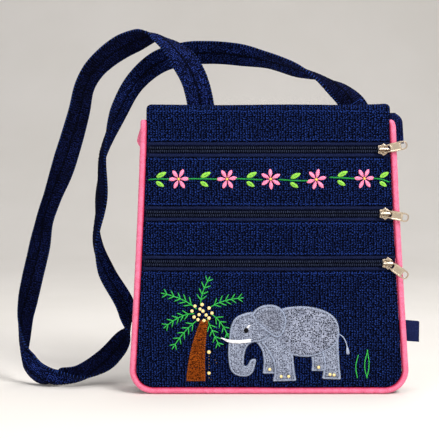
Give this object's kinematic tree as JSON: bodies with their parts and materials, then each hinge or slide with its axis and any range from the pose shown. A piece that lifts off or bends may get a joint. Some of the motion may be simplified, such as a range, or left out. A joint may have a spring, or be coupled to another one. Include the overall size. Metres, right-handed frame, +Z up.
{
  "type": "embroidered crossbody bag",
  "caption": "Slim stand-up crossbody bag of dark woven cloth with zipped pockets, piped seams, an embroidered front and one long cloth strap looped beside it.",
  "frame": {"origin": "middle of the base, on the surface that the bag stands on", "axes": "+Z up, +X to the right as seen from the embroidered front, front towards -Y"},
  "size_m": [0.3375, 0.0722, 0.3006],
  "materials": {
    "navy_cloth": "matte slub weave",
    "strap_cloth": "matte knitted webbing",
    "piping_cloth": "matte bias-cut cotton over cord",
    "zip_tape": "fine woven tape",
    "zip_coil": "satin nylon coil",
    "zip_metal": "polished pale gold plate"
  },
  "bodies": {
    "bag": {"yoke": "navy_cloth", "flower_panel": "navy_cloth", "middle_panel": "navy_cloth", "lower_panel": "navy_cloth", "back_panel": "navy_cloth", "gusset": "navy_cloth", "strap": "strap_cloth", "side_tab": "strap_cloth", "side_label": "strap_cloth", "front_piping": "piping_cloth", "back_piping": "piping_cloth", "zip_top_tape_upper": "zip_tape", "zip_top_tape_lower": "zip_tape", "zip_middle_tape_upper": "zip_tape", "zip_middle_tape_lower": "zip_tape", "zip_lower_tape_upper": "zip_tape", "zip_lower_tape_lower": "zip_tape", "zip_top_coil": "zip_coil", "zip_middle_coil": "zip_coil", "zip_lower_coil": "zip_coil", "zip_top_slider": "zip_metal", "zip_middle_slider": "zip_metal", "zip_lower_slider": "zip_metal"},
    "zip_top_pull": {"zip_top_pull": "zip_metal"},
    "zip_middle_pull": {"zip_middle_pull": "zip_metal"},
    "zip_lower_pull": {"zip_lower_pull": "zip_metal"}
  },
  "joints": [
    {"name": "zip_top_pull_hinge", "type": "hinge", "parent": "bag", "child": "zip_top_pull", "pos_m": [0.0932, -0.01168, 0.2008], "axis": [0.2079, -0.074, -0.9753], "range_deg": [0, 170]},
    {"name": "zip_middle_pull_hinge", "type": "hinge", "parent": "bag", "child": "zip_middle_pull", "pos_m": [0.0944, -0.01535, 0.14847], "axis": [-0.1908, -0.0635, -0.9796], "range_deg": [0, 170]},
    {"name": "zip_lower_pull_hinge", "type": "hinge", "parent": "bag", "child": "zip_lower_pull", "pos_m": [0.0968, -0.01756, 0.10793], "axis": [-0.5736, -0.0405, -0.8181], "range_deg": [0, 170]}
  ]
}
